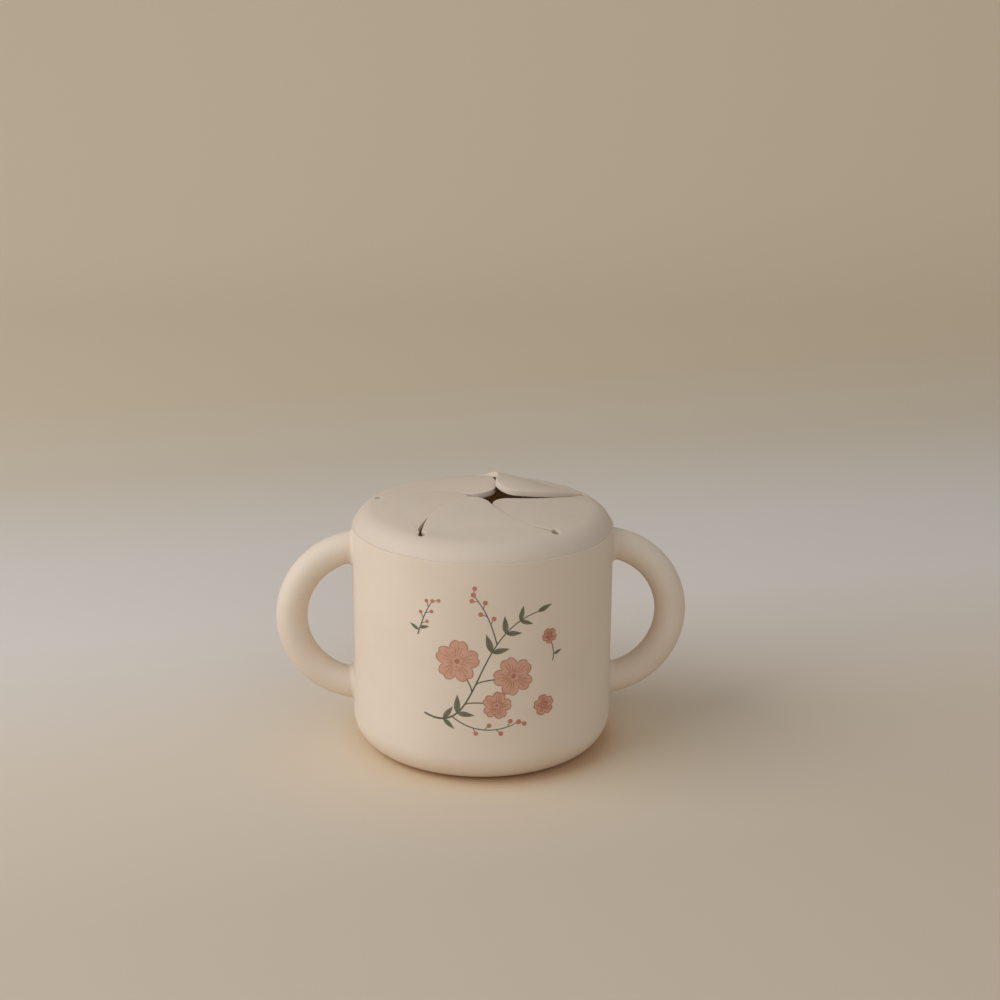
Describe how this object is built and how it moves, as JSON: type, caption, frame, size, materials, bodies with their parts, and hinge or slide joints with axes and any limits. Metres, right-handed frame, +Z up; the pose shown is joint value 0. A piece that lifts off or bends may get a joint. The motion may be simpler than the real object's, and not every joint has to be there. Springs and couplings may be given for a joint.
{
  "type": "toddler snack cup",
  "caption": "Soft toddler snack cup with a ring handle on each side and a press-on lid whose flexing petals let a hand in and keep snacks from spilling.",
  "frame": {"origin": "centre of the cup's base, on the surface that it stands on", "axes": "+Z up along the cup, +X and -X towards the handles, -Y towards the printed front"},
  "size_m": [0.135, 0.085, 0.0869],
  "materials": {
    "cup_silicone": "matte",
    "lid_silicone": "matte"
  },
  "bodies": {
    "cup": {"cup_body": "cup_silicone", "handle_left": "cup_silicone", "handle_right": "cup_silicone"},
    "lid": {"lid_rim": "lid_silicone"},
    "petal_front": {"petal_front": "lid_silicone"},
    "petal_right": {"petal_right": "lid_silicone"},
    "petal_back_right": {"petal_back_right": "lid_silicone"},
    "petal_back_left": {"petal_back_left": "lid_silicone"},
    "petal_left": {"petal_left": "lid_silicone"}
  },
  "joints": [
    {"name": "lid_lift", "type": "slide", "parent": "cup", "child": "lid", "axis": [0, 0, 1], "range_m": [0, 0.06]},
    {"name": "petal_front_flex", "type": "hinge", "parent": "lid", "child": "petal_front", "pos_m": [0, -0.02872, 0.07966], "axis": [1, 0, 0], "range_deg": [-55, 50], "stiffness_Nm_per_rad": 0.012},
    {"name": "petal_right_flex", "type": "hinge", "parent": "lid", "child": "petal_right", "pos_m": [0.02731, -0.00887, 0.07966], "axis": [0.309, 0.9511, 0], "range_deg": [-55, 50], "stiffness_Nm_per_rad": 0.012},
    {"name": "petal_back_right_flex", "type": "hinge", "parent": "lid", "child": "petal_back_right", "pos_m": [0.01688, 0.02323, 0.07966], "axis": [-0.809, 0.5878, 0], "range_deg": [-64, 41], "stiffness_Nm_per_rad": 0.012},
    {"name": "petal_back_left_flex", "type": "hinge", "parent": "lid", "child": "petal_back_left", "pos_m": [-0.01688, 0.02323, 0.07966], "axis": [-0.809, -0.5878, 0], "range_deg": [-55, 50], "stiffness_Nm_per_rad": 0.012},
    {"name": "petal_left_flex", "type": "hinge", "parent": "lid", "child": "petal_left", "pos_m": [-0.02731, -0.00887, 0.07966], "axis": [0.309, -0.9511, 0], "range_deg": [-55, 50], "stiffness_Nm_per_rad": 0.012}
  ]
}
